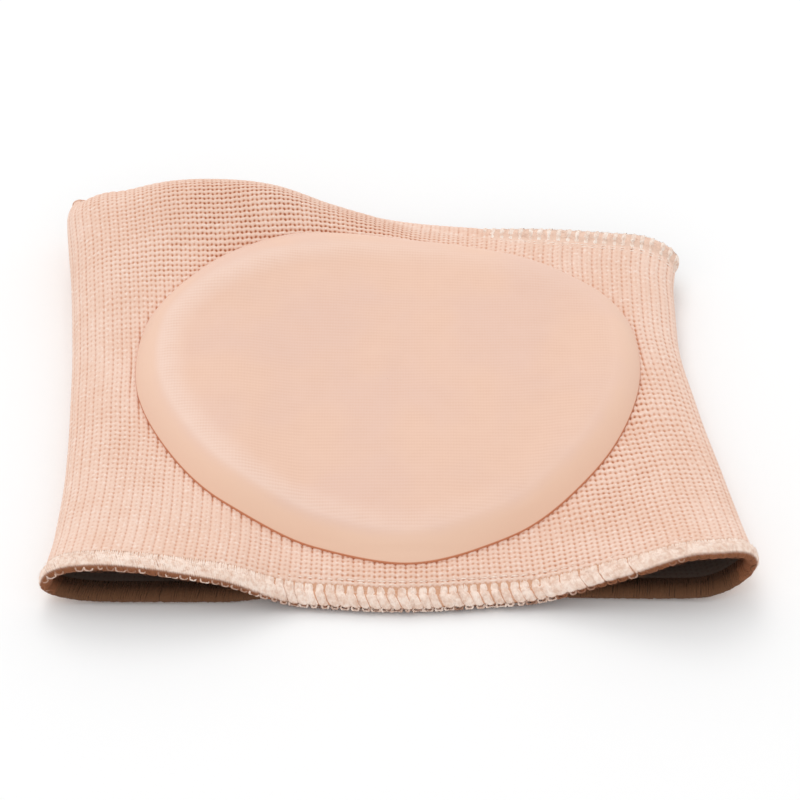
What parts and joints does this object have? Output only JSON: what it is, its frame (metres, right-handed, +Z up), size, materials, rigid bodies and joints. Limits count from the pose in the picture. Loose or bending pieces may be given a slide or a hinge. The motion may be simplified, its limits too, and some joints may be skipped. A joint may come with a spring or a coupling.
{
  "type": "metatarsal pad",
  "caption": "Forefoot sleeve of ribbed knit, open at both ends with overlocked hems, with a fabric-covered gel pad on its upper wall.",
  "frame": {"origin": "on the sleeve's flat underside, halfway between the side folds and between the two ends", "axes": "+X across the sleeve towards the right fold, +Y from the front opening to the rear one, +Z up through the pad"},
  "size_m": [0.1056, 0.086, 0.0168],
  "materials": {
    "knit": "matte ribbed elastic knit",
    "hem": "matte woolly overlock thread",
    "pad": "matte fine stretch cover"
  },
  "bodies": {
    "root": {"knit_sleeve": "knit", "front_hem": "hem", "rear_hem": "hem", "gel_pad": "pad"}
  },
  "joints": []
}
